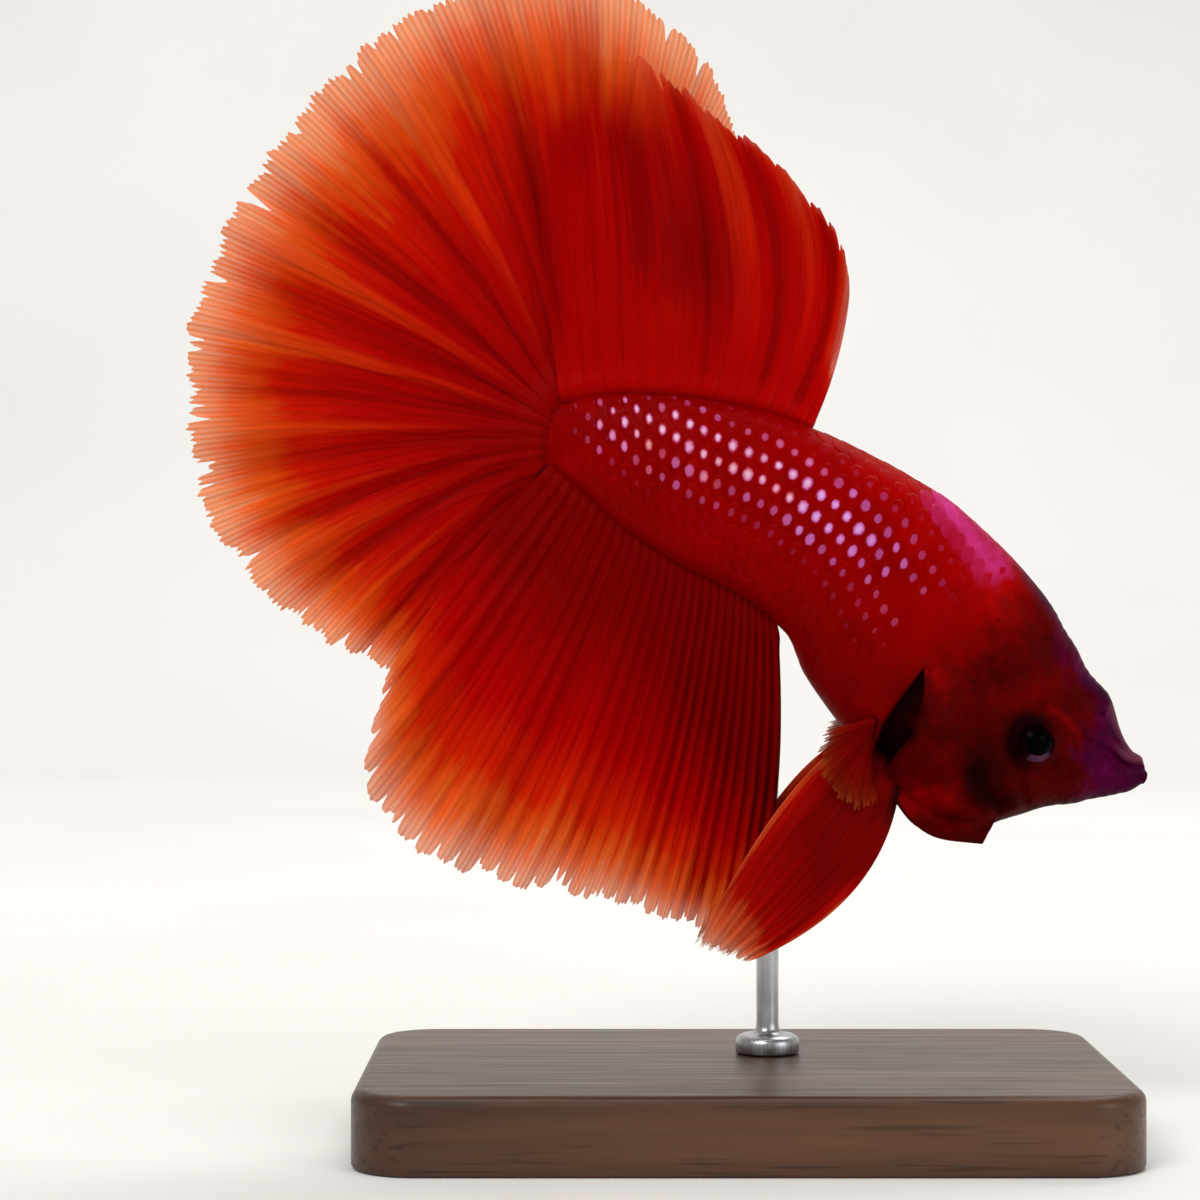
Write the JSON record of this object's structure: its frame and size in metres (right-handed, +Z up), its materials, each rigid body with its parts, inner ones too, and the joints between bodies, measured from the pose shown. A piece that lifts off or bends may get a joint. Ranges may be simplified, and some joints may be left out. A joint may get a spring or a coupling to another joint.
{
  "type": "siamese fighting fish model on a display stand",
  "caption": "Life-size model of a male half-moon Siamese fighting fish, head down with all its fins spread, held on a plain plinth by a rod.",
  "frame": {"origin": "centre of the underside of the stand's plinth", "axes": "+X towards the side the snout points to, +Z up, +Y towards the fish's left flank; its right flank faces -Y"},
  "size_m": [0.0775, 0.038, 0.0944],
  "materials": {
    "red_skin": "wet-looking deep red skin with overlapping scales and lilac spots on the flank",
    "purple_snout": "smooth scaleless dark purple skin",
    "red_fin": "pleated red rays and membrane, orange and pale towards the edge",
    "pale_fin": "thin clear orange-red rays and membrane",
    "dark_eye": "polished dark eye, solid",
    "dark_wood": "dark stained wood, satin",
    "brushed_steel": "fine brushed rod"
  },
  "bodies": {
    "root": {"head": "red_skin", "lower_jaw": "purple_snout", "right_eye": "dark_eye", "left_eye": "dark_eye", "right_gill_cover": "red_skin", "left_gill_cover": "red_skin", "trunk": "red_skin", "tail_stem": "red_skin", "dorsal_fin": "red_fin", "anal_fin": "red_fin", "tail_fin": "red_fin", "right_pelvic_fin": "red_fin", "left_pelvic_fin": "red_fin", "right_pectoral_fin": "pale_fin", "left_pectoral_fin": "pale_fin", "stand_base": "dark_wood", "stand_rod": "brushed_steel"}
  },
  "joints": []
}
